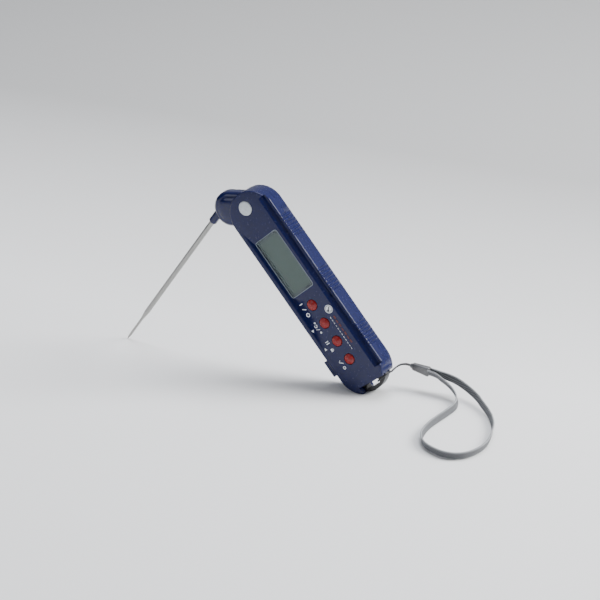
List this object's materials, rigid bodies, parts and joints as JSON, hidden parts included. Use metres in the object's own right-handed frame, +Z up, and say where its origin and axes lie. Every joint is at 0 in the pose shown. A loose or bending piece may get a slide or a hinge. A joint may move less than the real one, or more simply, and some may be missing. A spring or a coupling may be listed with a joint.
{
  "type": "meat thermometer",
  "caption": "Folding digital meat thermometer standing open on its case end and probe tip, navy case with red keys, grey wrist strap",
  "frame": {"origin": "On the floor under the middle of the thermometer, strap left out of the reckoning", "axes": "+X from the probe's tip towards the case's lower end, +Y from the display towards the back of the case, +Z up"},
  "size_m": [0.2824, 0.0894, 0.1223],
  "materials": {
    "case_plastic": "moulded glossy, fine orange peel",
    "head_plastic": "moulded glossy",
    "black_plastic": "moulded satin",
    "key_rubber": "satin silicone",
    "seal_rubber": "matte",
    "window_clear": "clear, polished",
    "display_glass": "reflective grey-green",
    "board_green": "solder mask",
    "chip_black": "moulded",
    "spring_steel": "rolled",
    "cell_steel": "nickel plated",
    "probe_steel": "ground stainless",
    "cap_silver": "satin silver",
    "buzzer_brass": "plain",
    "washer_bronze": "plain",
    "cord_black": "braided",
    "clasp_grey": "moulded satin",
    "webbing_grey": "woven"
  },
  "bodies": {
    "case": {"front_shell": "case_plastic", "back_shell": "case_plastic", "display_window": "window_clear", "lcd_module": "display_glass", "lcd_frame": "black_plastic", "contact_strips": "seal_rubber", "circuit_board": "board_green", "controller_chip": "chip_black", "key_domes": "spring_steel", "buzzer": "buzzer_brass", "battery_holder": "black_plastic", "battery_contact_minus": "spring_steel", "battery_contact_plus": "spring_steel", "battery_cell": "cell_steel", "case_screws": "spring_steel", "pivot_pin": "probe_steel", "pivot_cap": "cap_silver", "pivot_clip": "spring_steel", "friction_washers": "washer_bronze", "lanyard_bail": "black_plastic", "strap_lead": "cord_black", "strap_clasp": "clasp_grey", "strap_webbing": "webbing_grey"},
    "probe": {"probe_head_front": "head_plastic", "probe_head_rear": "black_plastic", "head_screws": "spring_steel", "probe_collar": "head_plastic", "probe_tube": "probe_steel", "sensor_bead": "chip_black", "sensor_leads": "spring_steel"},
    "battery_door": {"battery_cover": "case_plastic", "battery_cover_seal": "seal_rubber"},
    "power_key": {"key_power": "key_rubber"},
    "units_key": {"key_units": "key_rubber"},
    "hold_key": {"key_hold": "key_rubber"},
    "set_key": {"key_set": "key_rubber"}
  },
  "joints": [
    {"name": "probe_fold", "type": "hinge", "parent": "case", "child": "probe", "pos_m": [-0.00082, 0.0006, 0.11014], "axis": [0, -1, 0], "range_deg": [-23, 76]},
    {"name": "battery_door_turn", "type": "hinge", "parent": "case", "child": "battery_door", "pos_m": [0.06396, 0.0079, 0.03791], "axis": [0, -1, 0], "range_deg": [0, 60]},
    {"name": "power_press", "type": "slide", "parent": "case", "child": "power_key", "axis": [0, 1, 0], "range_m": [0, 0.0006], "stiffness_N_per_m": 1500, "springref_m": -0.0002},
    {"name": "units_press", "type": "slide", "parent": "case", "child": "units_key", "axis": [0, 1, 0], "range_m": [0, 0.0006], "stiffness_N_per_m": 1500, "springref_m": -0.0002},
    {"name": "hold_press", "type": "slide", "parent": "case", "child": "hold_key", "axis": [0, 1, 0], "range_m": [0, 0.0006], "stiffness_N_per_m": 1500, "springref_m": -0.0002},
    {"name": "set_press", "type": "slide", "parent": "case", "child": "set_key", "axis": [0, 1, 0], "range_m": [0, 0.0006], "stiffness_N_per_m": 1500, "springref_m": -0.0002}
  ]
}
